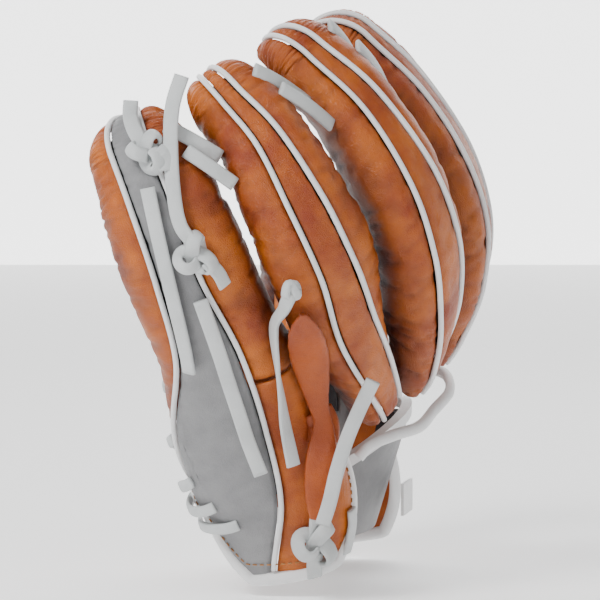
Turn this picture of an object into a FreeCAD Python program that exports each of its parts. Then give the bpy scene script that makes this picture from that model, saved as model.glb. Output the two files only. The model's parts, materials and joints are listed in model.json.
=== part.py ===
import FreeCAD, Part
import math
import os

Vector = FreeCAD.Vector
doc = FreeCAD.newDocument("baseball_glove")

# ---- driving dimensions, mm -------------------------------------------------------------
DIMENSIONS = {
    "leather": 2.2,
    "lining": 1.0,
    "welt_width": 2.4,
    "welt_height": 2.0,
    "lace_width": 6.0,
    "lace_thick": 2.4,
    "binding_width": 6.0,
    "tip_radius": 20.0,
    "knot_size": 8.0,
    "knot_thick": 3.0,
    "bead_size": 4.5,
    "patch_wide": 24.0,
    "patch_tall": 15.0,
    "patch_thick": 1.4,
}
sheet = doc.addObject("Spreadsheet::Sheet", "Dimensions")
for row, (name, value) in enumerate(DIMENSIONS.items(), start=1):
    sheet.set("A%d" % row, name)
    sheet.set("B%d" % row, str(value))
    sheet.setAlias("B%d" % row, name)
doc.recompute()
size = {name: float(sheet.get(name)) for name in DIMENSIONS}

# ---- lines plan: every stall hangs on a leaning upright through the pocket ----------------
UPRIGHT = (15.0, -13.0)
LEAN = (-0.28, 0.235)
TIP_SWEEP = math.radians(100.0)
# stations up each stall: height, bearing, reach, half width, half depth, welt angles, turn
STALLS = {
    "pinky": [
        (-28, -72, 63, 33, 26, -110, -12, 22),
        (5, -61, 77, 38, 28, -108, 10, 13),
        (40, -60, 88, 37, 27, -66, 28, 6),
        (75, -56, 103, 32, 22, -40, 34, 0),
        (110, -54, 117, 32, 19, -31, 27, 0),
        (145, -53, 124, 29, 18, -29, 28, 0),
        (168, -54, 119, 25, 17, -29, 29, 0),
    ],
    "ring": [
        (46, 7, 60, 15, 10, -38, 38),
        (64, -5, 78, 17, 14, -38, 38),
        (86, -14.5, 98, 23, 18, -32, 32),
        (115, -18.5, 117, 28, 19, -26, 26),
        (145, -21.5, 125, 26, 19, -24, 24),
        (174, -24, 121, 23, 17, -20, 20),
        (193, -28, 111, 20, 16, -17, 17),
    ],
    "middle": [
        (56, 36, 64, 15, 10, -38, 38),
        (72, 26, 84, 16.5, 14, -38, 38),
        (95, 18, 104, 22, 18, -33, 33),
        (124, 13, 120, 24, 19, -30, 30),
        (156, 10, 125, 25, 19, -26, 26),
        (190, 6, 118, 22, 17, -21, 21),
        (213, 0, 105, 20, 16, -17, 17),
    ],
    "index": [
        (66, 56, 76, 15, 10, -38, 38),
        (82, 50, 92, 16, 13, -38, 38),
        (106, 45, 110, 24, 17, -32, 32),
        (134, 43, 122, 26, 18, -29, 29),
        (166, 41, 124, 26, 18, -29, 29),
        (198, 38, 115, 23, 17, -22, 22),
        (221, 33, 101, 20, 16, -18, 18),
    ],
    "thumb": [
        (-28, 148, 74, 34, 26, 0, 110),
        (5, 141, 82, 36, 27, -22, 105),
        (40, 134, 88, 33, 26, -36, 70),
        (72, 127, 94, 29, 23, -34, 38),
        (102, 121, 98, 27, 20, -31, 31),
        (130, 117, 99, 25, 18, -30, 30),
        (150, 115, 96, 22, 16, -30, 30),
    ],
}
FINGERS = ("pinky", "ring", "middle", "index")


def plan(height, bearing, reach):
    """Point at a height, bearing and reach from the leaning upright."""
    angle = math.radians(bearing)
    return Vector(
        UPRIGHT[0] + LEAN[0] * height + reach * math.sin(angle),
        UPRIGHT[1] + LEAN[1] * height - reach * math.cos(angle),
        height,
    )


def through(knots, share):
    """Smooth line through evenly spaced knots, share from 0 to 1."""
    last = len(knots) - 1
    place = min(max(share, 0.0), 1.0) * last
    here = min(int(place), last - 1)
    part = place - here
    one, two = knots[here], knots[here + 1]
    before = knots[here - 1] if here > 0 else [2 * a - b for a, b in zip(one, two)]
    after = knots[here + 2] if here + 2 <= last else [2 * b - a for a, b in zip(one, two)]
    return [
        0.5 * (2 * b + (c - a) * part + (2 * a - 5 * b + 4 * c - d) * part ** 2
               + (3 * b - a - 3 * c + d) * part ** 3)
        for a, b, c, d in zip(before, one, two, after)
    ]


def at_height(stall, height):
    """Share of the way up a stall at which its back line has this height."""
    low, high = 0.0, 1.0
    for _ in range(24):
        middle = (low + high) / 2
        if through(STALLS[stall], middle)[0] < height:
            low = middle
        else:
            high = middle
    return low


def section(stall, share):
    """Back point, directions and size of a stall; share above 1 goes over the tip."""
    on_rail = min(share, 1.0)
    values = through(STALLS[stall], on_rail)
    below = plan(*through(STALLS[stall], max(on_rail - 0.002, 0.0))[:3])
    above = plan(*through(STALLS[stall], min(on_rail + 0.002, 1.0))[:3])
    along = (above - below).normalize()
    angle = math.radians(values[1] + (values[7] if len(values) > 7 else 0))
    out = Vector(math.sin(angle), -math.cos(angle), 0)
    out = (out - along * out.dot(along)).normalize()
    side = along.cross(out)
    back = plan(*values[:3])
    wide, deep = values[3], values[4]
    if share > 1:
        turn = TIP_SWEEP * (share - 1)
        radius = size["tip_radius"]
        back = back + along * (radius * math.sin(turn)) + out * (radius * (math.cos(turn) - 1))
        out = out * math.cos(turn) + along * math.sin(turn)
        wide = wide * (1 - 0.42 * (share - 1) ** 2)
        deep = deep * (1 - 0.62 * (share - 1) ** 2)
    return back, out.normalize(), side, wide, deep


def contour(stall, share, degrees, inset=0.0):
    """Point on the outside of a stall; 0 degrees is its back, 180 its palm side."""
    back, out, side, wide, deep = section(stall, share)
    angle = math.radians(degrees)
    taper = wide * (1 - 0.10 * (1 - math.cos(angle)))
    power = 2.5
    reach = (abs(math.cos(angle)) / deep) ** power + (abs(math.sin(angle)) / taper) ** power
    reach = reach ** (-1 / power) - inset
    return back - out * deep + side * (reach * math.sin(angle)) + out * (reach * math.cos(angle))


def welt_angle(stall, share, right):
    return through(STALLS[stall], min(share, 1.0))[6 if right else 5]


# ---- solids -------------------------------------------------------------------------------
def skin(grid):
    """Smooth surface that follows a grid of points and runs through its edges."""
    counts = (len(grid), len(grid[0]))
    degrees = [min(3, count - 1) for count in counts]
    knots, mults = [], []
    for count, degree in zip(counts, degrees):
        spans = count - degree
        knots.append([i / spans for i in range(spans + 1)])
        mults.append([degree + 1] + [1] * (spans - 1) + [degree + 1])
    surface = Part.BSplineSurface()
    surface.buildFromPolesMultsKnots(grid, mults[0], mults[1], knots[0], knots[1],
                                     False, False, degrees[0], degrees[1])
    return surface


def closed_solid(faces):
    shell = Part.Shell(faces)
    shell.sewShape()
    solid = Part.Solid(shell)
    if solid.Volume < 0:
        solid.reverse()
    return solid


def slab(outer, inner):
    """Solid between two point grids of the same shape."""
    faces = [skin(outer).toShape(), skin(inner).toShape()]
    for pick in (0, -1):
        faces.append(skin([outer[pick], inner[pick]]).toShape())
        faces.append(skin([[row[pick] for row in outer], [row[pick] for row in inner]]).toShape())
    return closed_solid(faces)


def stall_slab(stall, start, end, left, right, inset, thick, rows=13, columns=7):
    """Leather piece on a stall. start, end, left and right are numbers or functions."""
    def value(thing, at):
        return thing(at) if callable(thing) else thing

    def grid(depth):
        table = []
        for i in range(rows):
            line = []
            for j in range(columns):
                across = j / (columns - 1)
                up = i / (rows - 1)
                share, degrees = up, 0.0
                for _ in range(6):
                    low, high = value(start, degrees), value(end, degrees)
                    share = low + (high - low) * up
                    one, two = value(left, share), value(right, share)
                    degrees = one + (two - one) * across
                line.append(contour(stall, share, degrees, depth))
            table.append(line)
        return table
    return slab(grid(inset), grid(inset + thick))


def ribbon(points, facing, width, thick, lift=0.0):
    """Flat strip along points; facing gives the outward direction at each point."""
    outer, inner = [], []
    last = len(points) - 1
    for i, point in enumerate(points):
        ahead = points[min(i + 1, last)] - points[max(i - 1, 0)]
        out = facing[i] if isinstance(facing, list) else facing
        across = ahead.cross(out).normalize()
        out = across.cross(ahead).normalize()
        top = point + out * (lift + thick)
        base = point + out * lift
        outer.append([top + across * (width * k / 2) for k in (-1, 0, 1)])
        inner.append([base + across * (width * k / 2) for k in (-1, 0, 1)])
    return slab(outer, inner)


def smooth(knots, count):
    """Evenly spaced points on a smooth line through the knots."""
    line = [list(knot) for knot in knots]
    return [Vector(*through(line, i / (count - 1))) for i in range(count)]


parts = []


def piece(label, shape):
    thing = doc.addObject("Part::Feature", label)
    thing.Label = label
    thing.Shape = shape
    thing.Placement = FreeCAD.Placement()
    parts.append(thing)
    return thing


def group(label, solids):
    return piece(label, Part.makeCompound(solids))


# ---- heel rim -----------------------------------------------------------------------------
RIM_LEVELS = [(50,), (21,), (-8,), (-26,), (-35,), (-37,), (-32,), (-14,), (14,)]
RIM_START, RIM_END = -118.0, 98.0


def rim_level(degrees):
    return through(RIM_LEVELS, (degrees - RIM_START) / (RIM_END - RIM_START))[0]


def low_share(stall, mirrored):
    """Bottom edge of a heel panel, running on below the lowest station."""
    def share(degrees):
        level = rim_level(-degrees if mirrored else degrees)
        bottom = STALLS[stall][0][0]
        if level < bottom:
            return 0.0
        return at_height(stall, level)
    return share


# ---- stalls: back panel, two gussets and two welts each -----------------------------------
SEAM = 2.1
FRONT_EDGE = 138.0
GUSSET_START = {"pinky": 44.0, "thumb": 44.0}


def seam_angle(stall, share, right, offset):
    """Angle of a leather edge lying offset mm round the stall from its welt."""
    deep = section(stall, share)[4]
    return welt_angle(stall, share, right) + math.degrees(offset / deep)


def seam_left(stall, offset):
    return lambda share: seam_angle(stall, share, False, offset)


def seam_right(stall, offset):
    return lambda share: seam_angle(stall, share, True, offset)


def stall_start(stall, height=None):
    if stall in GUSSET_START:
        return at_height(stall, height or GUSSET_START[stall])
    return 0.02


def build_stall(stall):
    thick = size["leather"]
    heel = stall in GUSSET_START
    start = low_share(stall, stall == "thumb") if heel else 0.02
    panel = stall_slab(stall, start, 1.96, seam_left(stall, SEAM), seam_right(stall, -SEAM),
                       0, thick, rows=19, columns=7)
    piece(stall + "_back_panel", panel)
    left_start = stall_start(stall, 46.0 if stall == "pinky" else 62.0)
    right_start = stall_start(stall, 62.0 if stall == "pinky" else 46.0)
    left = stall_slab(stall, left_start, 1.9, -FRONT_EDGE, seam_left(stall, -SEAM), 0, thick, rows=17)
    right = stall_slab(stall, right_start, 1.9, seam_right(stall, SEAM), FRONT_EDGE, 0, thick, rows=17)
    piece(stall + "_outer_gusset", left)
    piece(stall + "_inner_gusset", right)
    welts = []
    for right_side in (False, True):
        points, facing = [], []
        begin = 0.02
        for i in range(22):
            share = begin + (1.9 - begin) * i / 21
            degrees = welt_angle(stall, share, right_side)
            points.append(contour(stall, share, degrees, 1.0))
            facing.append(points[-1] - contour(stall, share, degrees, 6.0))
        welts.append(ribbon(points, facing, size["welt_width"], size["welt_height"]))
    group(stall + "_welts", welts)


for stall in STALLS:
    build_stall(stall)

# ---- orange wrist panels below the gussets --------------------------------------------------
for label, stall, mirrored in (("wrist_panel", "pinky", False), ("thumb_wrist_panel", "thumb", True)):
    top = at_height(stall, 58.0)
    if mirrored:
        edges = (-97.0, seam_left(stall, -SEAM))
    else:
        edges = (seam_right(stall, SEAM), 97.0)
    piece(label, stall_slab(stall, low_share(stall, mirrored), top, edges[0], edges[1],
                            0, size["leather"], rows=9, columns=9))

# ---- linings inside the stalls ---------------------------------------------------------------
LINING_INSET = 4.6


def stall_tube(stall):
    """Thin glove-finger lining: most of the way round, open to the palm."""
    start = at_height(stall, 70.0) if stall in GUSSET_START else 0.22
    return stall_slab(stall, start, 1.35, -130, 130, LINING_INSET, size["lining"], rows=11, columns=15)


group("finger_linings", [stall_tube(stall) for stall in FINGERS])
piece("thumb_lining", stall_tube("thumb"))

# ---- stiffeners between leather and lining ----------------------------------------------------
for label, stall in (("pinky_stiffener", "pinky"), ("thumb_stiffener", "thumb")):
    piece(label, stall_slab(stall, 0.30, 0.86, -20, 14, 3.4, 0.9, rows=19, columns=7))

# ---- palm leather, parted along the thumb crease ---------------------------------------------
HEEL_LEVELS = (-22.0, 4.0, 28.0, 50.0)
PALM_BULGE = 13.0
PALM_EDGE = 149.5
CREASE = (0.68, 0.75)


def heel_row(height, depth, low, high, count):
    """Part of a palm row below the crotches, from pinky heel towards thumb heel."""
    first = contour("pinky", at_height("pinky", height), -PALM_EDGE, depth)
    last = contour("thumb", at_height("thumb", height), PALM_EDGE, depth)
    across = last - first
    bulge = Vector(0, 0, 1).cross(across).normalize()
    row = []
    for i in range(count):
        share = low + (high - low) * i / (count - 1)
        rise = math.sin(math.pi * share) * (PALM_BULGE - depth)
        row.append(first + across * share + bulge * rise)
    return row


def front_points(stall, height, depth):
    share = at_height(stall, height)
    return [contour(stall, share, d, depth) for d in (-PALM_EDGE, -180, PALM_EDGE)]


CROTCH_LEVEL = {"pinky": 72.0, "ring": 76.0, "middle": 82.0, "index": 92.0, "thumb": 70.0}


def crotch_row(depth, thumb):
    """Top row of the palm, along the feet of the stall fronts."""
    index = front_points("index", CROTCH_LEVEL["index"], depth)
    inner = front_points("thumb", CROTCH_LEVEL["thumb"], depth)
    across = inner[0] - index[2]
    if thumb:
        return [index[2] + across * 0.58] + inner
    row = []
    for stall in FINGERS:
        row += front_points(stall, CROTCH_LEVEL[stall], depth)
    return row + [index[2] + across * 0.42]


def palm_rows(depth, thumb=False):
    """Rows of the palm leather, from the heel up to the crotches."""
    count = 4 if thumb else 13
    low, high = (CREASE[1], 1.0) if thumb else (0.0, CREASE[0])
    rows = [heel_row(level, depth, low, high, count) for level in HEEL_LEVELS]
    top = crotch_row(depth, thumb)
    rows[-1] = [a * 0.6 + b * 0.4 for a, b in zip(rows[-1], top)]
    return rows + [top]


def palm_slab(depth, thick, thumb=False):
    return slab(palm_rows(depth, thumb), palm_rows(depth + thick, thumb))


piece("palm_shell", palm_slab(0.0, size["leather"]))
piece("thumb_palm_shell", palm_slab(0.0, size["leather"], thumb=True))
for stall in STALLS:
    base = at_height(stall, CROTCH_LEVEL[stall] + 2.5)
    piece(stall + "_front", stall_slab(stall, base, 1.85, PALM_EDGE, 360 - PALM_EDGE, 0,
                                       size["leather"], rows=15, columns=5))


def under_palm(depth, thick, up_from, up_to):
    """Layer under the palm leather that keeps the leather's own curve."""
    def sampled(at):
        surface = skin(palm_rows(at))
        return [[surface.value(up_from + (up_to - up_from) * i / 13, 0.10 + 0.80 * j / 15)
                 for j in range(16)] for i in range(14)]
    return slab(sampled(depth), sampled(depth + thick))


piece("palm_pad", under_palm(3.2, 3.2, 0.08, 0.62))
piece("palm_lining", under_palm(7.4, size["lining"], 0.06, 0.66))
# ---- rolled bindings along the heel and the hand opening ---------------------------------------
def heel_path(stall, mirrored, first, last, count, inset=-1.0):
    points, facing = [], []
    low = low_share(stall, mirrored)
    for i in range(count):
        degrees = first + (last - first) * i / (count - 1)
        turned = -degrees if mirrored else degrees
        share = low(turned)
        points.append(contour(stall, share, turned, inset))
        facing.append(contour(stall, share, turned, -9.0) - contour(stall, share, turned, 2.0))
    return points, facing


for label, stall, mirrored in (("heel_binding", "pinky", False), ("thumb_heel_binding", "thumb", True)):
    points, facing = heel_path(stall, mirrored, -106.0, 94.0, 25, -0.5)
    piece(label, ribbon(points, facing, size["binding_width"], 2.4))

OPENING_LINE = [(-11.5, -60.5, 27.0), (-7.0, -63.5, 32.5), (4.0, -67.0, 36.5), (22.0, -64.5, 39.0),
                (38.0, -57.0, 45.0), (55.0, -49.0, 52.0), (68.0, -32.0, 58.0), (71.0, -14.0, 60.0)]
opening_line = smooth([Vector(*knot) for knot in OPENING_LINE], 29)
opening_facing = [Vector(p.x - 20, p.y - 20, 0) for p in opening_line]
piece("opening_binding", ribbon(opening_line, opening_facing, 5.0, 3.0))

# ---- laces -------------------------------------------------------------------------------------
LACE_LIFT = 0.6


def on_stall(stall, places, lift):
    """Smooth lace line over a stall through (share, degrees) places."""
    count = 6 * len(places)
    line = [through(places, i / (count - 1)) for i in range(count)]
    points = [contour(stall, share, degrees, -lift) for share, degrees in line]
    facing = [contour(stall, share, degrees, -9.0) - contour(stall, share, degrees, 2.0)
              for share, degrees in line]
    return points, facing


def lace(stall, places, lift=LACE_LIFT, width=None):
    points, facing = on_stall(stall, places, lift)
    return ribbon(points, facing, width or size["lace_width"], size["lace_thick"])


def bridge(one, two):
    """Short lace across the valley between two stalls."""
    start, end = contour(*one, -1.6), contour(*two, -1.6)
    out = (section(one[0], one[1])[1] + section(two[0], two[1])[1]).normalize()
    points = [start + (end - start) * (i / 6) + out * (2.5 * math.sin(math.pi * i / 6)) for i in range(7)]
    return ribbon(points, out, size["lace_width"], size["lace_thick"])


BRIDGES = [
    (("pinky", 1.12, 52), ("ring", 0.88, -66)),
    (("pinky", 0.93, 60), ("ring", 0.78, -66)),
    (("ring", 1.06, 50), ("middle", 0.93, -66)),
    (("ring", 0.92, 60), ("middle", 0.85, -66)),
    (("middle", 1.06, 50), ("index", 0.97, -66)),
    (("middle", 0.93, 60), ("index", 0.88, -66)),
]
group("finger_lacing", [bridge(one, two) for one, two in BRIDGES])


def heel_loops(stall, mirrored, angles):
    """Short loops over the heel binding, one at each angle."""
    loops = []
    low = low_share(stall, mirrored)
    for degrees in angles:
        turned = -degrees if mirrored else degrees
        share = low(turned)
        swing = -1 if mirrored else 1
        places = [(share + 0.05, turned + 26 * swing),
                  (share + 0.035, turned + 6 * swing),
                  (share + 0.01, turned - 10 * swing)]
        loops.append(lace(stall, places, 4.2))
    return loops


group("pinky_heel_lacing", heel_loops("pinky", False, (-112, -98, -86, -74, -60)))
group("thumb_heel_lacing", heel_loops("thumb", True, (-100, -82, -60)))


def torus(label, stall, share, degrees, lift, tilt):
    ring = doc.addObject("Part::Torus", label)
    ring.Label = label
    ring.setExpression("Radius1", "Dimensions.knot_size")
    ring.setExpression("Radius2", "Dimensions.knot_thick")
    here = contour(stall, share, degrees, -lift)
    out = (contour(stall, share, degrees, -9.0) - contour(stall, share, degrees, 2.0)).normalize()
    turn = FreeCAD.Rotation(Vector(0, 0, 1), out).multiply(FreeCAD.Rotation(Vector(1, 0, 0), tilt))
    ring.Placement = FreeCAD.Placement(here, turn)
    parts.append(ring)


torus("upper_lace_knot", "pinky", 0.963, 23, 5.8, 8)
torus("lower_lace_knot", "pinky", 0.713, 27, 5.8, -8)
torus("wrist_lace_knot", "pinky", 0.09, 32, 5.0, 0)

# lines of the pieces that hang clear of any one stall, on the leather behind them
OUTWARD = Vector(-0.64, -0.77, 0.07)
CROTCH_LINE = [(-73.5, -87.8, 107.2), (-72.0, -80.6, 98.8), (-70.3, -71.6, 89.9), (-66.9, -69.6, 72.4),
               (-62.2, -66.7, 59.0), (-56.4, -62.6, 44.9), (-49.5, -60.0, 26.2)]
WRIST_TAIL_LINE = [(-34.0, -61.5, -0.7), (-32.9, -65.1, 9.6), (-29.4, -65.9, 23.0), (-25.0, -68.0, 38.0),
                   (-21.3, -72.8, 52.2), (-20.1, -79.7, 64.1)]
TAB_LINE = [(-66.1, -86.4, 96.3), (-60.8, -81.5, 86.5), (-48.9, -71.5, 71.9), (-39.2, -64.6, 54.4),
            (-35.8, -64.2, 43.2), (-38.2, -65.8, 28.1), (-37.9, -64.1, 14.4), (-38.0, -60.7, 1.4)]
TAB_WIDTHS = (4, 13, 16, 11, 8, 11, 13, 5)


def hanging(line, lift, count):
    points = smooth([Vector(*knot) + OUTWARD * lift for knot in line], count)
    return ribbon(points, OUTWARD, size["lace_width"], size["lace_thick"])


bead = doc.addObject("Part::Sphere", "crotch_bead")
bead.Label = "crotch_bead"
bead.setExpression("Radius", "Dimensions.bead_size")
bead.Placement = FreeCAD.Placement(Vector(*CROTCH_LINE[0]) + OUTWARD * 8.0, FreeCAD.Rotation())
parts.append(bead)

piece("upper_lace_tail", lace("pinky", [(0.87, 6), (0.75, -4), (0.62, -13), (0.488, -22)], 2.2))
piece("lower_lace_tail", lace("pinky", [(0.63, 17), (0.5, 14), (0.38, 12), (0.25, 6)], 3.2))
piece("crotch_lace_tail", hanging(CROTCH_LINE[1:], 2.2, 22))
piece("wrist_lace_tail", hanging(WRIST_TAIL_LINE, 15.0, 20))

# ---- pull tab ------------------------------------------------------------------------------------


def tab():
    """Pointed leather leaf, widest above its middle and nipped where it is wrapped."""
    points = smooth([Vector(*knot) + OUTWARD * 5.5 for knot in TAB_LINE], 36)
    outer, inner = [], []
    last = len(points) - 1
    for i, point in enumerate(points):
        ahead = points[min(i + 1, last)] - points[max(i - 1, 0)]
        across = ahead.cross(OUTWARD).normalize()
        wide = through([(w,) for w in TAB_WIDTHS], i / last)[0]
        outer.append([point + OUTWARD * 1.8 + across * (wide * k / 2) for k in (-1, 0, 1)])
        inner.append([point + across * (wide * k / 2) for k in (-1, 0, 1)])
    return slab(outer, inner)


piece("pull_tab", tab())

# ---- wrist strap ------------------------------------------------------------------------------------
STRAP_CENTRE = (10.0, 12.0)
STRAP_RADIUS = 54.0
STRAP_START, STRAP_END = -8.0, 84.0
STRAP_FLARE = 0.30


def strap_point(share, up, radius):
    bearing = math.radians(STRAP_START + (STRAP_END - STRAP_START) * share)
    low = -16.0 + 6.0 * share
    high = 22.0 + 22.0 * math.sin(math.pi * 0.62 * share)
    height = low + (high - low) * up
    radius = radius + (height - 35.0) * STRAP_FLARE
    return Vector(STRAP_CENTRE[0] + radius * math.sin(bearing),
                  STRAP_CENTRE[1] - radius * math.cos(bearing),
                  height)


def strap_slab(radius, thick, low, high, first=0.0, last=1.0):
    def grid(at):
        return [[strap_point(first + (last - first) * i / 14, low + (high - low) * k / 4, at)
                 for k in range(5)] for i in range(15)]
    return slab(grid(radius), grid(radius - thick))


piece("wrist_strap", strap_slab(STRAP_RADIUS, 2.4, 0.0, 0.93))
piece("strap_lining", strap_slab(STRAP_RADIUS - 2.8, 3.0, 0.03, 0.92, 0.03, 0.97))
edge = [strap_point(i / 18, 1.0, STRAP_RADIUS - 2.0) for i in range(19)]
edge_facing = [Vector(p.x - STRAP_CENTRE[0], p.y - STRAP_CENTRE[1], 0.0) for p in edge]
piece("strap_binding", ribbon(edge, edge_facing, 5.0, 5.0, -2.5))
patch = doc.addObject("Part::Box", "strap_patch")
patch.Label = "strap_patch"
patch.setExpression("Length", "Dimensions.patch_wide")
patch.setExpression("Width", "Dimensions.patch_thick")
patch.setExpression("Height", "Dimensions.patch_tall")
patch_bearing = 38.0
patch_out = Vector(math.sin(math.radians(patch_bearing)), -math.cos(math.radians(patch_bearing)), 0)
patch_side = Vector(-patch_out.y, patch_out.x, 0)
patch.Placement = FreeCAD.Placement(
    Vector(STRAP_CENTRE[0], STRAP_CENTRE[1], -6) + patch_out * (STRAP_RADIUS + 1.9) - patch_side * 12,
    FreeCAD.Rotation(Vector(0, 0, 1), patch_bearing))
parts.append(patch)

# ---- web between index and thumb --------------------------------------------------------------------
def web_point(across, up, depth=0.0):
    """Point on the web; across runs from index to thumb, up from pocket to top edge."""
    index_share = at_height("index", 112.0) + (1.0 - at_height("index", 112.0)) * up
    thumb_share = at_height("thumb", 84.0) + (1.0 - at_height("thumb", 84.0)) * up
    one = contour("index", index_share, 98, 0.0)
    two = contour("thumb", thumb_share, -98, 0.0)
    span = two - one
    out = Vector(span.y, -span.x, 0).normalize()
    bow = math.sin(math.pi * across) * (17.0 - depth)
    return one + span * across + out * bow


def web_slab(first, last, low, high, thick=3.0, rows=9, columns=7):
    def grid(depth):
        return [[web_point(first + (last - first) * j / (columns - 1),
                           low + (high - low) * i / (rows - 1), depth)
                 for j in range(columns)] for i in range(rows)]
    return slab(grid(0.0), grid(thick))


WEB_PART = 0.62
piece("web_index_post", web_slab(0.06, 0.22, 0.0, 0.97))
piece("web_top_bar", web_slab(0.24, WEB_PART, 0.72, 0.97))
piece("web_middle_bar", web_slab(0.24, WEB_PART, 0.28, 0.55))
piece("web_thumb_post", web_slab(0.78, 0.94, 0.0, 0.97))
group("web_thumb_bars", [web_slab(WEB_PART + 0.05, 0.76, 0.72, 0.97),
                         web_slab(WEB_PART + 0.05, 0.76, 0.28, 0.55)])
group("web_lacing", [web_slab(0.28, 0.33, 0.57, 0.70), web_slab(0.40, 0.45, 0.57, 0.70),
                     web_slab(0.52, 0.57, 0.57, 0.70), web_slab(0.30, 0.36, 0.05, 0.26)])

# ---- check and write ---------------------------------------------------------------------------------
doc.recompute()
os.makedirs("parts", exist_ok=True)
for thing in parts:
    shape = thing.Shape
    failed = "Invalid" in thing.State or "Error" in thing.State
    if failed or shape.isNull() or not shape.isValid() or shape.Volume <= 0:
        raise RuntimeError("%s did not build a valid solid" % thing.Label)
    shape.exportStep("parts/%s.step" % thing.Label)
    print(thing.Label, "ok", round(shape.Volume), "mm3")
print(len(parts), "parts")
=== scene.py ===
import json
import math

import bpy
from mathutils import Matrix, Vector, noise


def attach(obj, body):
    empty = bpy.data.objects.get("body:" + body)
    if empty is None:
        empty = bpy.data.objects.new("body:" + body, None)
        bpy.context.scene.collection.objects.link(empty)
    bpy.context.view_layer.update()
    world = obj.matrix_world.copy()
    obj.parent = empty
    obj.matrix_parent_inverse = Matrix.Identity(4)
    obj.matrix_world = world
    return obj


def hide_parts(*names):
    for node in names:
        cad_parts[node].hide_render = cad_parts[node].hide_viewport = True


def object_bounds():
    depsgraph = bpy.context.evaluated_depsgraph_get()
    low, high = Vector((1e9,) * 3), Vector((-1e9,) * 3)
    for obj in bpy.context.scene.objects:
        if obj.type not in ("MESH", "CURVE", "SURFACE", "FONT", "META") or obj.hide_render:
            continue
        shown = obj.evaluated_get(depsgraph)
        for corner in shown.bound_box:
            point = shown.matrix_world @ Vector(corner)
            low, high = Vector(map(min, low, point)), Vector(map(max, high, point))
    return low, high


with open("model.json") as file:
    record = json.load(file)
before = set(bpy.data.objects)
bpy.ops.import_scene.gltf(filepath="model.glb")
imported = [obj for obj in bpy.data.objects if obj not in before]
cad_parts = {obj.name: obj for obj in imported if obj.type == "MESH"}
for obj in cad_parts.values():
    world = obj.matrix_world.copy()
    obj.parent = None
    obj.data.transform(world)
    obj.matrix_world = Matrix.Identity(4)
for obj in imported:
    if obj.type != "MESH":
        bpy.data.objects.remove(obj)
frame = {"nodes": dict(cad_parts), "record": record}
start_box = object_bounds()
MM = 0.001
CAMERA_AZIMUTH = -40.0
CAMERA_ELEVATION = 4.0

# ---- lines plan, the same as the part's, in mm ---------------------------------------------------
UPRIGHT = (15.0, -13.0)
LEAN = (-0.28, 0.235)
TIP_SWEEP = math.radians(100.0)
TIP_RADIUS = 20.0
# stations up each stall: height, bearing, reach, half width, half depth, welt angles, turn
STALLS = {
    "pinky": [
        (-28, -72, 63, 33, 26, -110, -12, 22),
        (5, -61, 77, 38, 28, -108, 10, 13),
        (40, -60, 88, 37, 27, -66, 28, 6),
        (75, -56, 103, 32, 22, -40, 34, 0),
        (110, -54, 117, 32, 19, -31, 27, 0),
        (145, -53, 124, 29, 18, -29, 28, 0),
        (168, -54, 119, 25, 17, -29, 29, 0),
    ],
    "ring": [
        (46, 7, 60, 15, 10, -38, 38),
        (64, -5, 78, 17, 14, -38, 38),
        (86, -14.5, 98, 23, 18, -32, 32),
        (115, -18.5, 117, 28, 19, -26, 26),
        (145, -21.5, 125, 26, 19, -24, 24),
        (174, -24, 121, 23, 17, -20, 20),
        (193, -28, 111, 20, 16, -17, 17),
    ],
    "middle": [
        (56, 36, 64, 15, 10, -38, 38),
        (72, 26, 84, 16.5, 14, -38, 38),
        (95, 18, 104, 22, 18, -33, 33),
        (124, 13, 120, 24, 19, -30, 30),
        (156, 10, 125, 25, 19, -26, 26),
        (190, 6, 118, 22, 17, -21, 21),
        (213, 0, 105, 20, 16, -17, 17),
    ],
    "index": [
        (66, 56, 76, 15, 10, -38, 38),
        (82, 50, 92, 16, 13, -38, 38),
        (106, 45, 110, 24, 17, -32, 32),
        (134, 43, 122, 26, 18, -29, 29),
        (166, 41, 124, 26, 18, -29, 29),
        (198, 38, 115, 23, 17, -22, 22),
        (221, 33, 101, 20, 16, -18, 18),
    ],
    "thumb": [
        (-28, 148, 74, 34, 26, 0, 110),
        (5, 141, 82, 36, 27, -22, 105),
        (40, 134, 88, 33, 26, -36, 70),
        (72, 127, 94, 29, 23, -34, 38),
        (102, 121, 98, 27, 20, -31, 31),
        (130, 117, 99, 25, 18, -30, 30),
        (150, 115, 96, 22, 16, -30, 30),
    ],
}
BODY = {"pinky": "hand", "ring": "hand", "middle": "hand", "index": "hand", "thumb": "thumb"}


def plan(height, bearing, reach):
    angle = math.radians(bearing)
    return Vector((
        UPRIGHT[0] + LEAN[0] * height + reach * math.sin(angle),
        UPRIGHT[1] + LEAN[1] * height - reach * math.cos(angle),
        height,
    ))


def through(knots, share):
    """Smooth line through evenly spaced knots, share from 0 to 1."""
    last = len(knots) - 1
    place = min(max(share, 0.0), 1.0) * last
    here = min(int(place), last - 1)
    part = place - here
    one, two = knots[here], knots[here + 1]
    before = knots[here - 1] if here > 0 else [2 * a - b for a, b in zip(one, two)]
    after = knots[here + 2] if here + 2 <= last else [2 * b - a for a, b in zip(one, two)]
    return [
        0.5 * (2 * b + (c - a) * part + (2 * a - 5 * b + 4 * c - d) * part ** 2
               + (3 * b - a - 3 * c + d) * part ** 3)
        for a, b, c, d in zip(before, one, two, after)
    ]


def at_height(stall, height):
    low, high = 0.0, 1.0
    for _ in range(24):
        middle = (low + high) / 2
        if through(STALLS[stall], middle)[0] < height:
            low = middle
        else:
            high = middle
    return low


known_sections = {}


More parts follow.
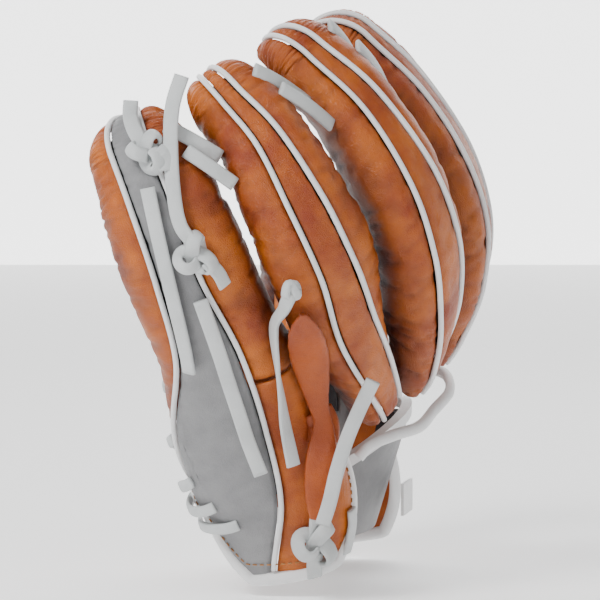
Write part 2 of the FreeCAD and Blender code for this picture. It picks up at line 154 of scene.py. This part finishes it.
def section(stall, share):
    """Back point, directions and size of a stall; share above 1 goes over the tip."""
    key = (stall, round(share, 5))
    if key in known_sections:
        return known_sections[key]
    on_rail = min(share, 1.0)
    values = through(STALLS[stall], on_rail)
    below = plan(*through(STALLS[stall], max(on_rail - 0.002, 0.0))[:3])
    above = plan(*through(STALLS[stall], min(on_rail + 0.002, 1.0))[:3])
    along = (above - below).normalized()
    angle = math.radians(values[1] + (values[7] if len(values) > 7 else 0))
    out = Vector((math.sin(angle), -math.cos(angle), 0))
    out = (out - along * out.dot(along)).normalized()
    side = along.cross(out)
    back = plan(*values[:3])
    wide, deep = values[3], values[4]
    if share > 1:
        turn = TIP_SWEEP * (share - 1)
        back = back + along * (TIP_RADIUS * math.sin(turn)) + out * (TIP_RADIUS * (math.cos(turn) - 1))
        out = out * math.cos(turn) + along * math.sin(turn)
        wide = wide * (1 - 0.42 * (share - 1) ** 2)
        deep = deep * (1 - 0.62 * (share - 1) ** 2)
    known_sections[key] = (back, out.normalized(), side, wide, deep)
    return known_sections[key]


def contour(stall, share, degrees, inset=0.0):
    """Point on the outside of a stall; 0 degrees is its back, 180 its palm side."""
    back, out, side, wide, deep = section(stall, share)
    angle = math.radians(degrees)
    taper = wide * (1 - 0.10 * (1 - math.cos(angle)))
    reach = (abs(math.cos(angle)) / deep) ** 2.5 + (abs(math.sin(angle)) / taper) ** 2.5
    reach = reach ** -0.4 - inset
    return back - out * deep + side * (reach * math.sin(angle)) + out * (reach * math.cos(angle))


def outward(stall, share, degrees):
    return (contour(stall, share, degrees, -9.0) - contour(stall, share, degrees, 2.0)).normalized()


def welt_angle(stall, share, right):
    return through(STALLS[stall], min(share, 1.0))[6 if right else 5]


RIM_LEVELS = [(50,), (21,), (-8,), (-26,), (-35,), (-37,), (-32,), (-14,), (14,)]
RIM_START, RIM_END = -118.0, 98.0


def low_share(stall, mirrored):
    """Share of the heel rim at an angle round a heel stall."""
    def share(degrees):
        turned = -degrees if mirrored else degrees
        level = through(RIM_LEVELS, (turned - RIM_START) / (RIM_END - RIM_START))[0]
        if level < STALLS[stall][0][0]:
            return 0.0
        return at_height(stall, level)
    return share


# ---- materials -----------------------------------------------------------------------------------
def shader(name, rough):
    material = bpy.data.materials.new(name)
    material.use_nodes = True
    tree = material.node_tree
    main = tree.nodes["Principled BSDF"]
    main.inputs["Roughness"].default_value = rough
    return material, tree, main


def noise_node(tree, coords, scale, detail, roughness=0.5):
    node = tree.nodes.new("ShaderNodeTexNoise")
    node.inputs["Scale"].default_value = scale
    node.inputs["Detail"].default_value = detail
    node.inputs["Roughness"].default_value = roughness
    tree.links.new(coords.outputs["Object"], node.inputs["Vector"])
    return node


def blend_colour(tree, factor, one, two):
    node = tree.nodes.new("ShaderNodeMix")
    node.data_type = "RGBA"
    tree.links.new(factor, node.inputs[0])
    for socket, colour in ((node.inputs[6], one), (node.inputs[7], two)):
        if isinstance(colour, tuple):
            socket.default_value = (*colour, 1)
        else:
            tree.links.new(colour, socket)
    return node.outputs[2]


def remap(tree, value, low, high, out_low=0.0, out_high=1.0):
    node = tree.nodes.new("ShaderNodeMapRange")
    node.inputs[1].default_value = low
    node.inputs[2].default_value = high
    node.inputs[3].default_value = out_low
    node.inputs[4].default_value = out_high
    tree.links.new(value, node.inputs[0])
    return node.outputs[0]


def leather(name, light, deep, painted_shade_colour, rough=0.42, grain=1300.0, relief=0.35):
    """Grained hide, mottled between light and deep, with painted shade in the third colour where a mesh marks
    valleys, seam edges and creases.
    """
    material, tree, main = shader(name, rough)
    coords = tree.nodes.new("ShaderNodeTexCoord")
    mottle = noise_node(tree, coords, 34.0, 5.0, 0.6)
    speck = noise_node(tree, coords, 260.0, 3.0, 0.6)
    base = blend_colour(tree, remap(tree, mottle.outputs[0], 0.35, 0.68), light, deep)
    base = blend_colour(tree, remap(tree, speck.outputs[0], 0.60, 0.78, 0.0, 0.35), base, deep)
    # painted shade: this mesh attribute sets how far the colour goes to the shade colour, darkening valleys
    # between stalls, seam edges and creases
    painted_shade = tree.nodes.new("ShaderNodeAttribute")
    painted_shade.attribute_name = "painted_shade"
    base = blend_colour(tree, painted_shade.outputs["Fac"], base, painted_shade_colour)
    tree.links.new(base, main.inputs["Base Color"])
    shine = remap(tree, mottle.outputs[0], 0.3, 0.7, rough - 0.08, rough + 0.12)
    tree.links.new(shine, main.inputs["Roughness"])
    cells = tree.nodes.new("ShaderNodeTexVoronoi")
    cells.feature = "DISTANCE_TO_EDGE"
    cells.inputs["Scale"].default_value = grain
    tree.links.new(coords.outputs["Object"], cells.inputs["Vector"])
    creases = noise_node(tree, coords, 170.0, 6.0, 0.65)
    fine = tree.nodes.new("ShaderNodeBump")
    fine.inputs["Strength"].default_value = relief
    fine.inputs["Distance"].default_value = 0.00035
    tree.links.new(remap(tree, cells.outputs["Distance"], 0.0, 0.25), fine.inputs["Height"])
    coarse = tree.nodes.new("ShaderNodeBump")
    coarse.inputs["Strength"].default_value = 0.35
    coarse.inputs["Distance"].default_value = 0.0016
    tree.links.new(creases.outputs[0], coarse.inputs["Height"])
    tree.links.new(fine.outputs[0], coarse.inputs["Normal"])
    tree.links.new(coarse.outputs[0], main.inputs["Normal"])
    return material


# each leather's third colour is the painted shade colour for valleys between stalls, seam edges and creases;
# the first two are the hide's own mottled tones
TAN = leather("tan_leather", (0.58, 0.135, 0.001), (0.27, 0.034, 0.0005), (0.035, 0.0015, 0.0003),
              0.38, 1300.0, 0.5)
TAB = leather("tab_leather", (0.42, 0.075, 0.002), (0.22, 0.028, 0.001), (0.04, 0.002, 0.0005), 0.38)
GREY = leather("grey_leather", (0.27, 0.27, 0.275), (0.19, 0.19, 0.195), (0.05, 0.05, 0.055), 0.45)
WHITE = leather("white_trim", (0.86, 0.86, 0.86), (0.78, 0.78, 0.78), (0.4, 0.4, 0.4), 0.5, 1600.0, 0.15)
LACE = leather("lace_leather", (0.62, 0.64, 0.64), (0.52, 0.54, 0.54), (0.2, 0.2, 0.2), 0.55, 1500.0, 0.25)
BLACK = leather("black_lining", (0.012, 0.012, 0.013), (0.008, 0.008, 0.009), (0.004, 0.004, 0.004), 0.6)
FELT = leather("felt", (0.55, 0.53, 0.48), (0.45, 0.43, 0.40), (0.2, 0.2, 0.2), 0.9)
HARD = leather("stiffener", (0.04, 0.04, 0.045), (0.03, 0.03, 0.035), (0.01, 0.01, 0.01), 0.5)
THREAD = leather("thread", (0.42, 0.19, 0.06), (0.30, 0.12, 0.03), (0.1, 0.03, 0.01), 0.6)
MATERIAL = {"tan_leather": TAN, "grey_leather": GREY, "white_trim": WHITE, "lace": LACE,
            "black_lining": BLACK, "felt": FELT, "stiffener": HARD, "patch": WHITE}
SLOT = {item["node"]: item["material_slot"] for item in frame["record"]["subparts"]}


# ---- mesh building -----------------------------------------------------------------------------------
def mesh(name, points, faces, material, body, nodes, painted_shades=None):
    data = bpy.data.meshes.new(name)
    data.from_pydata([tuple(p * MM) for p in points], [], faces)
    data.update()
    data.shade_smooth()
    data.materials.append(material)
    # per-point painted shade amounts, read by the leather material
    if painted_shades:
        layer = data.attributes.new("painted_shade", "FLOAT", "POINT")
        layer.data.foreach_set("value", painted_shades)
    thing = bpy.data.objects.new(name, data)
    bpy.context.scene.collection.objects.link(thing)
    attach(thing, body)
    if nodes:
        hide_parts(*nodes)
    return thing


def closed_sheet(name, outer, inner, material, body, nodes, painted_shades=None):
    """Closed mesh between two point grids of the same shape."""
    rows, columns = len(outer), len(outer[0])
    points = [p for row in outer for p in row] + [p for row in inner for p in row]
    half = rows * columns
    faces = []
    for i in range(rows - 1):
        for j in range(columns - 1):
            a = i * columns + j
            b, c, d = a + 1, a + columns + 1, a + columns
            faces.append((a, b, c, d))
            faces.append((half + d, half + c, half + b, half + a))
    rim = [j for j in range(columns)]
    rim += [i * columns + columns - 1 for i in range(1, rows)]
    rim += [(rows - 1) * columns + j for j in range(columns - 2, -1, -1)]
    rim += [i * columns for i in range(rows - 2, 0, -1)]
    for a, b in zip(rim, rim[1:] + rim[:1]):
        faces.append((b, a, half + a, half + b))
    values = None
    # the same painted shade amounts go on the outer and the inner grid
    if painted_shades:
        values = [v for row in painted_shades for v in row] * 2
    return mesh(name, points, faces, material, body, nodes, values)


def sweep(points, facing, wide, thick, around=12, power=3.0):
    """Points and faces of a bar with a rounded flat section along a line."""
    verts, faces = [], []
    last = len(points) - 1
    for i, point in enumerate(points):
        ahead = (points[min(i + 1, last)] - points[max(i - 1, 0)]).normalized()
        out = facing[i]
        across = ahead.cross(out).normalized()
        out = across.cross(ahead).normalized()
        width = wide[i] if isinstance(wide, list) else wide
        for k in range(around):
            angle = 2 * math.pi * k / around
            c, s = math.cos(angle), math.sin(angle)
            x = math.copysign(abs(c) ** (2 / power), c) * width / 2
            y = math.copysign(abs(s) ** (2 / power), s) * thick / 2
            verts.append(point + across * x + out * y)
    for i in range(last):
        for k in range(around):
            a, b = i * around + k, i * around + (k + 1) % around
            faces.append((a, b, b + around, a + around))
    faces.append(tuple(range(around - 1, -1, -1)))
    faces.append(tuple(range(last * around, last * around + around)))
    return verts, faces


def join(lots):
    points, faces = [], []
    for more_points, more_faces in lots:
        shift = len(points)
        points += more_points
        faces += [tuple(i + shift for i in face) for face in more_faces]
    return points, faces


def smooth(knots, count):
    return [Vector(through([tuple(k) for k in knots], i / (count - 1))) for i in range(count)]


def stitches(line, facing, pitch=3.2, size=1.9, thick=0.7):
    """Row of short raised stitches along a line."""
    lots, travelled = [], 0.0
    for i in range(1, len(line)):
        travelled += (line[i] - line[i - 1]).length
        if travelled >= pitch:
            travelled = 0.0
            ahead = (line[i] - line[i - 1]).normalized()
            ends = [line[i] - ahead * size / 2, line[i], line[i] + ahead * size / 2]
            lots.append(sweep(ends, [facing[i]] * 3, thick, thick, 6, 2.0))
    return join(lots)


# ---- stall leather --------------------------------------------------------------------------------------
def value(thing, at):
    return thing(at) if callable(thing) else thing


def stall_leather(name, stall, start, end, left, right, material, rows=90, columns=22,
                  wrinkle=0.5, pillow=1.5, valley=None, inset=0.0, nodes=None):
    """Leather piece on a stall, dipping to its seams, creased across its length."""
    outer, inner, painted_shades = [], [], []
    for i in range(rows):
        up = i / (rows - 1)
        lines, backs, painted_shade_row = [], [], []
        for j in range(columns):
            across = j / (columns - 1)
            share, degrees = up, 0.0
            for _ in range(6 if callable(start) else 2):
                low, high = value(start, degrees), value(end, degrees)
                share = low + (high - low) * up
                low_angle, high_angle = value(left, share), value(right, share)
                degrees = low_angle + (high_angle - low_angle) * across
            here = contour(stall, share, degrees, inset)
            reach = min(across, 1 - across) * abs(high_angle - low_angle) * 0.42
            dip = pillow * math.exp(-reach / 2.2)
            soft = noise.noise(here * 0.035) * 0.9
            lengthwise = Vector((degrees * 0.016, share * 26, 3.0 if stall == "ring" else 9.0))
            crease = abs(noise.noise(lengthwise)) + 0.5 * abs(noise.noise(lengthwise * 2.3))
            crease = max(0.0, 0.32 - crease) * 3.0
            depth = inset + dip + wrinkle * (crease - soft * 0.6)
            lines.append(contour(stall, share, degrees, depth))
            backs.append(contour(stall, share, degrees, depth + 1.9))
            # painted shade: darker towards the valleys between stalls (angles within valley), where the piece
            # dips to its seams, and in the creases
            away = 0.0
            if valley:
                away = min(max((abs(degrees) - valley[0]) / (valley[1] - valley[0]), 0.0), 1.0)
            painted_shade_row.append(min(1.0, 0.85 * away + 0.25 * math.exp(-reach / 1.2) + 0.22 * crease * wrinkle))
        outer.append(lines)
        inner.append(backs)
        painted_shades.append(painted_shade_row)
    return closed_sheet(name, outer, inner, material, BODY[stall], nodes or [name], painted_shades)


SEAM = 1.6
FRONT_EDGE = 141.0
STALL_FOOT, BACK_TOP, SIDE_TOP, FRONT_TOP = 0.02, 1.97, 1.93, 1.88
FRONT_START = {"pinky": 74.5, "ring": 78.5, "middle": 84.5, "index": 94.5, "thumb": 72.5}
HEELS = ("pinky", "thumb")


def beside_welt(stall, right, offset):
    return lambda share: welt_angle(stall, share, right) + math.degrees(offset / section(stall, share)[4])


for stall in STALLS:
    heel = stall in HEELS
    back = GREY if heel else TAN
    start = low_share(stall, stall == "thumb") if heel else STALL_FOOT
    stall_leather(stall + "_back_panel", stall, start, BACK_TOP,
                  beside_welt(stall, False, SEAM), beside_welt(stall, True, -SEAM), back, 150, 24,
                  wrinkle=0.6, pillow=0.9)
    left_start = at_height(stall, 46.0 if stall == "pinky" else 62.0) if heel else STALL_FOOT
    right_start = at_height(stall, 62.0 if stall == "pinky" else 46.0) if heel else STALL_FOOT
    # the gussets darken with painted shade from 46 to 108 degrees round, towards the valleys between stalls
    stall_leather(stall + "_outer_gusset", stall, left_start, SIDE_TOP, -FRONT_EDGE,
                  beside_welt(stall, False, -SEAM), TAN, 150, 34, wrinkle=1.3, valley=(46, 108))
    stall_leather(stall + "_inner_gusset", stall, right_start, SIDE_TOP, beside_welt(stall, True, SEAM),
                  FRONT_EDGE, TAN, 150, 34, wrinkle=1.3, valley=(46, 108))
    stall_leather(stall + "_front", stall, at_height(stall, FRONT_START[stall]), FRONT_TOP,
                  FRONT_EDGE + 1, 359 - FRONT_EDGE, TAN, 80, 16, wrinkle=0.3)
    lots = []
    for right in (False, True):
        shares = [STALL_FOOT + (SIDE_TOP - STALL_FOOT) * i / 110 for i in range(111)]
        angles = [welt_angle(stall, s, right) for s in shares]
        line = [contour(stall, s, a, 0.5) for s, a in zip(shares, angles)]
        facing = [outward(stall, s, a) for s, a in zip(shares, angles)]
        lots.append(sweep(line, facing, 2.5, 2.6, 10, 2.2))
    points, faces = join(lots)
    mesh(stall + "_welts", points, faces, WHITE, BODY[stall], [stall + "_welts"])

# ---- wrist panels ---------------------------------------------------------------------------------
for label, stall, mirrored in (("wrist_panel", "pinky", False), ("thumb_wrist_panel", "thumb", True)):
    edges = (beside_welt(stall, True, SEAM), 97.0)
    if mirrored:
        edges = (-97.0, beside_welt(stall, False, -SEAM))
    stall_leather(label, stall, low_share(stall, mirrored), at_height(stall, 60.0), edges[0], edges[1], TAN,
                  60, 30, wrinkle=0.5, nodes=[label])

# ---- bindings ------------------------------------------------------------------------------------------
for label, stall, mirrored in (("heel_binding", "pinky", False), ("thumb_heel_binding", "thumb", True)):
    low = low_share(stall, mirrored)
    line, facing, seam, seam_out = [], [], [], []
    for i in range(90):
        degrees = -112 + 206 * i / 89
        degrees = -degrees if mirrored else degrees
        line.append(contour(stall, low(degrees), degrees, 0.6))
        facing.append(outward(stall, low(degrees), degrees))
        seam.append(contour(stall, low(degrees) + 0.035, degrees, -0.3))
        seam_out.append(facing[-1])
    points, faces = sweep(line, facing, 6.4, 5.4, 14, 2.3)
    mesh(label, points, faces, WHITE, BODY[stall], [label])
    fine = smooth(seam, 600)
    points, faces = stitches(fine, smooth(seam_out, 600))
    mesh(label + "_stitching", points, faces, THREAD, BODY[stall], None)

# ---- laces on the pinky back ------------------------------------------------------------------------------
def on_pinky(places, count=50):
    """Line and outward directions through (share, degrees, lift) places on the pinky stall."""
    line, facing = [], []
    for i in range(count):
        share, degrees, lift = through(places, i / (count - 1))
        line.append(contour("pinky", share, degrees, -lift))
        facing.append(outward("pinky", share, degrees))
    return line, facing


def turn_facing(line, facing, turns):
    """Twist a strip evenly along its length by a number of half turns."""
    turned = []
    last = len(line) - 1
    for i, out in enumerate(facing):
        ahead = (line[min(i + 1, last)] - line[max(i - 1, 0)]).normalized()
        across = ahead.cross(out).normalized()
        angle = math.pi * turns * i / last
        turned.append(out * math.cos(angle) + across * math.sin(angle))
    return turned


def knot(stall, share, degrees, lift, radius, spin=0.0, width=6.4):
    """Overhand knot of flat lace lying on a stall."""
    here = contour(stall, share, degrees, -lift)
    out = outward(stall, share, degrees)
    along = (contour(stall, share + 0.01, degrees) - contour(stall, share - 0.01, degrees)).normalized()
    side = along.cross(out).normalized()
    line = []
    for i in range(73):
        angle = 2 * math.pi * i / 72
        x = math.sin(angle) + 1.5 * math.sin(2 * angle)
        y = math.cos(angle) - 1.5 * math.cos(2 * angle)
        z = -math.sin(3 * angle)
        a, b = math.cos(spin), math.sin(spin)
        x, y = a * x - b * y, b * x + a * y
        flat = here + side * (x * radius * 0.42) + along * (y * radius * 0.5)
        line.append(flat + out * (z * radius * 0.34))
    facing = [(p - here + out * radius * 0.8).normalized() for p in line]
    return sweep(line[:-1], facing[:-1], width, 2.3, 10, 2.6)


LACE_WIDE, LACE_THICK = 6.6, 2.2


def add_lace(name, lots, body, nodes):
    points, faces = join(lots)
    return mesh(name, points, faces, LACE, body, nodes)


def add_tail(name, line, facing, body, stiffness, lay):
    """Free end of a lace: its own mesh, as long as its line."""
    points, faces = sweep(line, facing, LACE_WIDE, LACE_THICK, 12, 3.6)
    tail = mesh(name, points, faces, LACE, body, [name])


def strip(places, count=50, wide=LACE_WIDE):
    line, facing = on_pinky(places, count)
    return sweep(line, facing, wide, LACE_THICK, 12, 3.6)


# lines of the pieces that hang clear of any one stall, on the leather behind them
OUTWARD = Vector((-0.64, -0.77, 0.07))
CROTCH_LINE = [(-73.5, -87.8, 107.2), (-72.0, -80.6, 98.8), (-70.3, -71.6, 89.9), (-66.9, -69.6, 72.4),
               (-62.2, -66.7, 59.0), (-56.4, -62.6, 44.9), (-49.5, -60.0, 26.2)]
WRIST_TAIL_LINE = [(-34.0, -61.5, -0.7), (-32.9, -65.1, 9.6), (-29.4, -65.9, 23.0), (-25.0, -68.0, 38.0),
                   (-21.3, -72.8, 52.2), (-20.1, -79.7, 64.1)]
TAB_LINE = [(-66.1, -86.4, 96.3), (-60.8, -81.5, 86.5), (-48.9, -71.5, 71.9), (-39.2, -64.6, 54.4),
            (-35.8, -64.2, 43.2), (-38.2, -65.8, 28.1), (-37.9, -64.1, 14.4), (-38.0, -60.7, 1.4)]


def lifted(line, lift):
    return [Vector(knot_point) + OUTWARD * lift for knot_point in line]


def hanging(line, lift, count=50, wide=LACE_WIDE, turns=0.0):
    """Flat lace along a line held off the leather by lift."""
    points = smooth(lifted(line, lift), count)
    return sweep(points, turn_facing(points, [OUTWARD] * count, turns), wide, LACE_THICK, 12, 3.6)


add_lace("upper_lace_knot", [
    knot("pinky", 0.963, 23, 4.4, 7.4),
    hanging([(-126.0, -42.0, 189.0), (-125.3, -40.7, 182.0), (-126.1, -45.3, 175.4),
             (-124.2, -50.6, 168.1)], 4.0, 24),
    strip([(0.955, 32, 5.0), (0.93, 36, 5.0), (0.89, 32, 4.0)], 16),
], "hand", ["upper_lace_knot"])
add_lace("lower_lace_knot", [
    knot("pinky", 0.713, 29, 4.6, 8.0, 0.5),
    hanging([(-112.9, -61.0, 200.0), (-116.0, -58.5, 187.0), (-116.6, -57.8, 171.2), (-118.2, -61.9, 149.7),
             (-115.2, -62.8, 135.4), (-109.2, -65.7, 126.7)], 3.6, 60, LACE_WIDE, 0.15),
    strip([(0.70, 36, 5.0), (0.67, 42, 4.0), (0.64, 44, 3.0)], 16),
], "hand", ["lower_lace_knot"])
add_lace("wrist_lace_knot", [
    knot("pinky", 0.09, 32, 5.4, 9.4, 0.3, 7.6),
    strip([(0.155, 34, 5.4), (0.13, 32, 5.0), (0.10, 31, 5.0)], 20),
    strip([(0.07, 30, 5.4), (0.04, 28, 4.6), (0.015, 27, 4.4), (0.0, 26, 4.4)], 24, 7.4),
    strip([(0.115, 68, 1.4), (0.08, 67, 1.8), (0.03, 62, 1.6), (0.01, 59, 1.2)], 24),
], "hand", ["wrist_lace_knot"])
crotch_points = smooth(lifted(CROTCH_LINE, 3.2), 70)
crotch_facing = turn_facing(crotch_points, [OUTWARD] * 70, 0.9)
add_tail("crotch_lace_tail", crotch_points, crotch_facing, "hand", "medium", "hanging")
here = Vector(CROTCH_LINE[0]) + OUTWARD * 8.0
bead_line = [here + Vector((math.cos(a), math.sin(a) * 0.5, math.sin(2 * a) * 0.8)) * 3.4
             for a in [2 * math.pi * i / 30 for i in range(31)]]
bead_facing = [(p - here + OUTWARD * 3).normalized() for p in bead_line]
add_lace("crotch_bead", [sweep(bead_line, bead_facing, 4.2, 2.6, 10)], "hand", ["crotch_bead"])
UPPER_TAIL = [(0.87, 6, 3.4), (0.75, -4, 3.4), (0.62, -13, 3.4), (0.488, -22, 3.4)]
LOWER_TAIL = [(0.63, 17, 4.4), (0.5, 14, 4.4), (0.38, 12, 4.4), (0.25, 6, 4.4)]
add_tail("upper_lace_tail", *on_pinky(UPPER_TAIL), "upper_tail", "medium", "hanging")
add_tail("lower_lace_tail", *on_pinky(LOWER_TAIL), "lower_tail", "medium", "hanging")
wrist_points = smooth(lifted(WRIST_TAIL_LINE, 16.2), 50)
add_tail("wrist_lace_tail", wrist_points, [OUTWARD] * 50, "wrist_tail", "stiff", "loose")

# ---- pull tab ---------------------------------------------------------------------------------------
TAB_WIDTHS = (3, 12, 16.5, 17, 13, 9, 8.5, 12, 14, 14, 11, 4)
line = smooth(lifted(TAB_LINE, 6.4), 90)
tab_widths = [(w,) for w in TAB_WIDTHS]
wide = [through(tab_widths, i / 89)[0] + 0.7 * noise.noise(Vector((i * 0.4, 1, 2))) for i in range(90)]
lots = [sweep(line, [OUTWARD] * 90, wide, 2.2, 14, 3.0)]
wrap_line = smooth(lifted([(-36.0, -60.0, 50.0), (-33.5, -61.5, 44.0), (-34.5, -62.5, 36.0)], 6.8), 16)
lots.append(sweep(wrap_line, [OUTWARD] * 16, 14.5, 5.0, 14, 2.6))
points, faces = join(lots)
mesh("pull_tab", points, faces, TAB, "hand", ["pull_tab"])

# ---- lace bridges between the fingertips, and over the heel -----------------------------------------
BRIDGES = [
    (("pinky", 1.12, 52), ("ring", 0.88, -66)),
    (("pinky", 0.93, 60), ("ring", 0.78, -66)),
    (("ring", 1.06, 50), ("middle", 0.93, -66)),
    (("ring", 0.92, 60), ("middle", 0.85, -66)),
    (("middle", 1.06, 50), ("index", 0.97, -66)),
    (("middle", 0.93, 60), ("index", 0.88, -66)),
]
lots = []
for one, two in BRIDGES:
    first, second = contour(*one, -1.6), contour(*two, -1.6)
    out = (section(one[0], one[1])[1] + section(two[0], two[1])[1]).normalized()
    line = [first + (second - first) * (i / 16) + out * (2.2 * math.sin(math.pi * i / 16)) for i in range(17)]
    lots.append(sweep(line, [out] * 17, 6.4, 2.3, 12, 3.6))
add_lace("finger_lacing", lots, "hand", ["finger_lacing"])

for label, stall, mirrored, angles in (("pinky_heel_lacing", "pinky", False, (-112, -98, -86, -74, -60)),
                                       ("thumb_heel_lacing", "thumb", True, (-100, -82, -60))):
    lots = []
    low = low_share(stall, mirrored)
    for degrees in angles:
        turned = -degrees if mirrored else degrees
        share = low(turned)
        swing = -1 if mirrored else 1
        loop = [(0.052, 28 * swing, 0.2), (0.045, 20 * swing, 2.4),
                (0.03, 2 * swing, 4.4), (0.005, -14 * swing, 4.6)]
        line, facing = [], []
        for i in range(20):
            rise, turn, lift = through(loop, i / 19)
            line.append(contour(stall, share + rise, turned + turn, -lift))
            facing.append(outward(stall, share + rise, turned + turn))
        lots.append(sweep(line, facing, 5.4, 2.3, 12, 3.2))
    add_lace(label, lots, BODY[stall], [label])

# ---- opening rim ------------------------------------------------------------------------------------
OPENING_LINE = [(-11.5, -60.5, 27.0), (-7.0, -63.5, 32.5), (4.0, -67.0, 36.5), (22.0, -64.5, 39.0),
                (38.0, -57.0, 45.0), (55.0, -49.0, 52.0), (68.0, -32.0, 58.0), (71.0, -14.0, 60.0)]
rim = smooth([Vector(knot_point) for knot_point in OPENING_LINE], 90)
points, faces = sweep(rim, [Vector((p.x - 20, p.y - 20, 0)).normalized() for p in rim], 5.6, 4.6, 12, 2.2)
mesh("opening_binding", points, faces, WHITE, "hand", ["opening_binding"])

# ---- finishing --------------------------------------------------------------------------------------------
for name, node in frame["nodes"].items():
    node.data.materials.clear()
    node.data.materials.append(MATERIAL[SLOT[name]])

low = start_box[0]
floor_mesh = bpy.data.meshes.new("floor")
reach = 40.0
floor_level = low[2] - 0.004
floor_mesh.from_pydata([(-reach, -reach, floor_level), (reach, -reach, floor_level),
                        (reach, reach, floor_level), (-reach, reach, floor_level)], [], [(0, 1, 2, 3)])
floor = bpy.data.objects.new("floor", floor_mesh)
bpy.context.scene.collection.objects.link(floor)
floor_look, _, floor_main = shader("floor", 0.8)
floor_main.inputs["Base Color"].default_value = (0.93, 0.93, 0.93, 1)
floor_main.inputs["Emission Color"].default_value = (1, 1, 1, 1)
floor_main.inputs["Emission Strength"].default_value = 0.38
floor_mesh.materials.append(floor_look)

# a lit white backdrop stands behind the glove, square to the camera
a = math.radians(CAMERA_AZIMUTH)
behind = Vector((-math.sin(a), math.cos(a), 0))
side = Vector((math.cos(a), math.sin(a), 0))
corners = [behind * 2.5 + side * x + Vector((0, 0, z)) for x, z in ((-4, -1), (4, -1), (4, 5), (-4, 5))]
backdrop_mesh = bpy.data.meshes.new("backdrop")
backdrop_mesh.from_pydata([tuple(c) for c in corners], [], [(0, 1, 2, 3)])
backdrop = bpy.data.objects.new("backdrop", backdrop_mesh)
bpy.context.scene.collection.objects.link(backdrop)
backdrop_look, _, backdrop_main = shader("backdrop", 1.0)
backdrop_main.inputs["Base Color"].default_value = (0.95, 0.95, 0.95, 1)
backdrop_main.inputs["Emission Color"].default_value = (1, 1, 1, 1)
backdrop_main.inputs["Emission Strength"].default_value = 2.6
backdrop_mesh.materials.append(backdrop_look)


def lamp(name, azimuth, elevation, distance, size, power):
    a, e = math.radians(azimuth), math.radians(elevation)
    data = bpy.data.lights.new(name, "AREA")
    data.size = size
    data.energy = power
    thing = bpy.data.objects.new(name, data)
    away = Vector((math.sin(a) * math.cos(e), -math.cos(a) * math.cos(e), math.sin(e)))
    thing.location = Vector((-0.02, 0, 0.09)) + away * distance
    thing.rotation_euler = away.to_track_quat("Z", "Y").to_euler()
    bpy.context.scene.collection.objects.link(thing)


lamp("key", CAMERA_AZIMUTH - 38, 40, 1.1, 0.35, 12)
lamp("fill", CAMERA_AZIMUTH + 50, 25, 1.3, 0.5, 2.5)
lamp("rim", CAMERA_AZIMUTH + 165, 50, 1.2, 0.6, 5)
world = bpy.data.worlds.new("world")
bpy.context.scene.world = world
world.use_nodes = True
world.node_tree.nodes["Background"].inputs[0].default_value = (1, 1, 1, 1)
world.node_tree.nodes["Background"].inputs[1].default_value = 0.10

camera_data = bpy.data.cameras.new("camera")
camera = bpy.data.objects.new("camera", camera_data)
bpy.context.scene.collection.objects.link(camera)
bpy.context.scene.camera = camera
bpy.context.scene.render.resolution_x = 600
bpy.context.scene.render.resolution_y = 600
a, e = math.radians(CAMERA_AZIMUTH), math.radians(CAMERA_ELEVATION)
away = Vector((math.sin(a) * math.cos(e), -math.cos(a) * math.cos(e), math.sin(e)))
right = Vector((math.cos(a), math.sin(a), 0))
camera.location = Vector((0, 0, 0.0948)) + right * 0.0036 + away * 1.6
camera.rotation_euler = away.to_track_quat("Z", "Y").to_euler()
camera_data.sensor_width = 36
camera_data.lens = 205
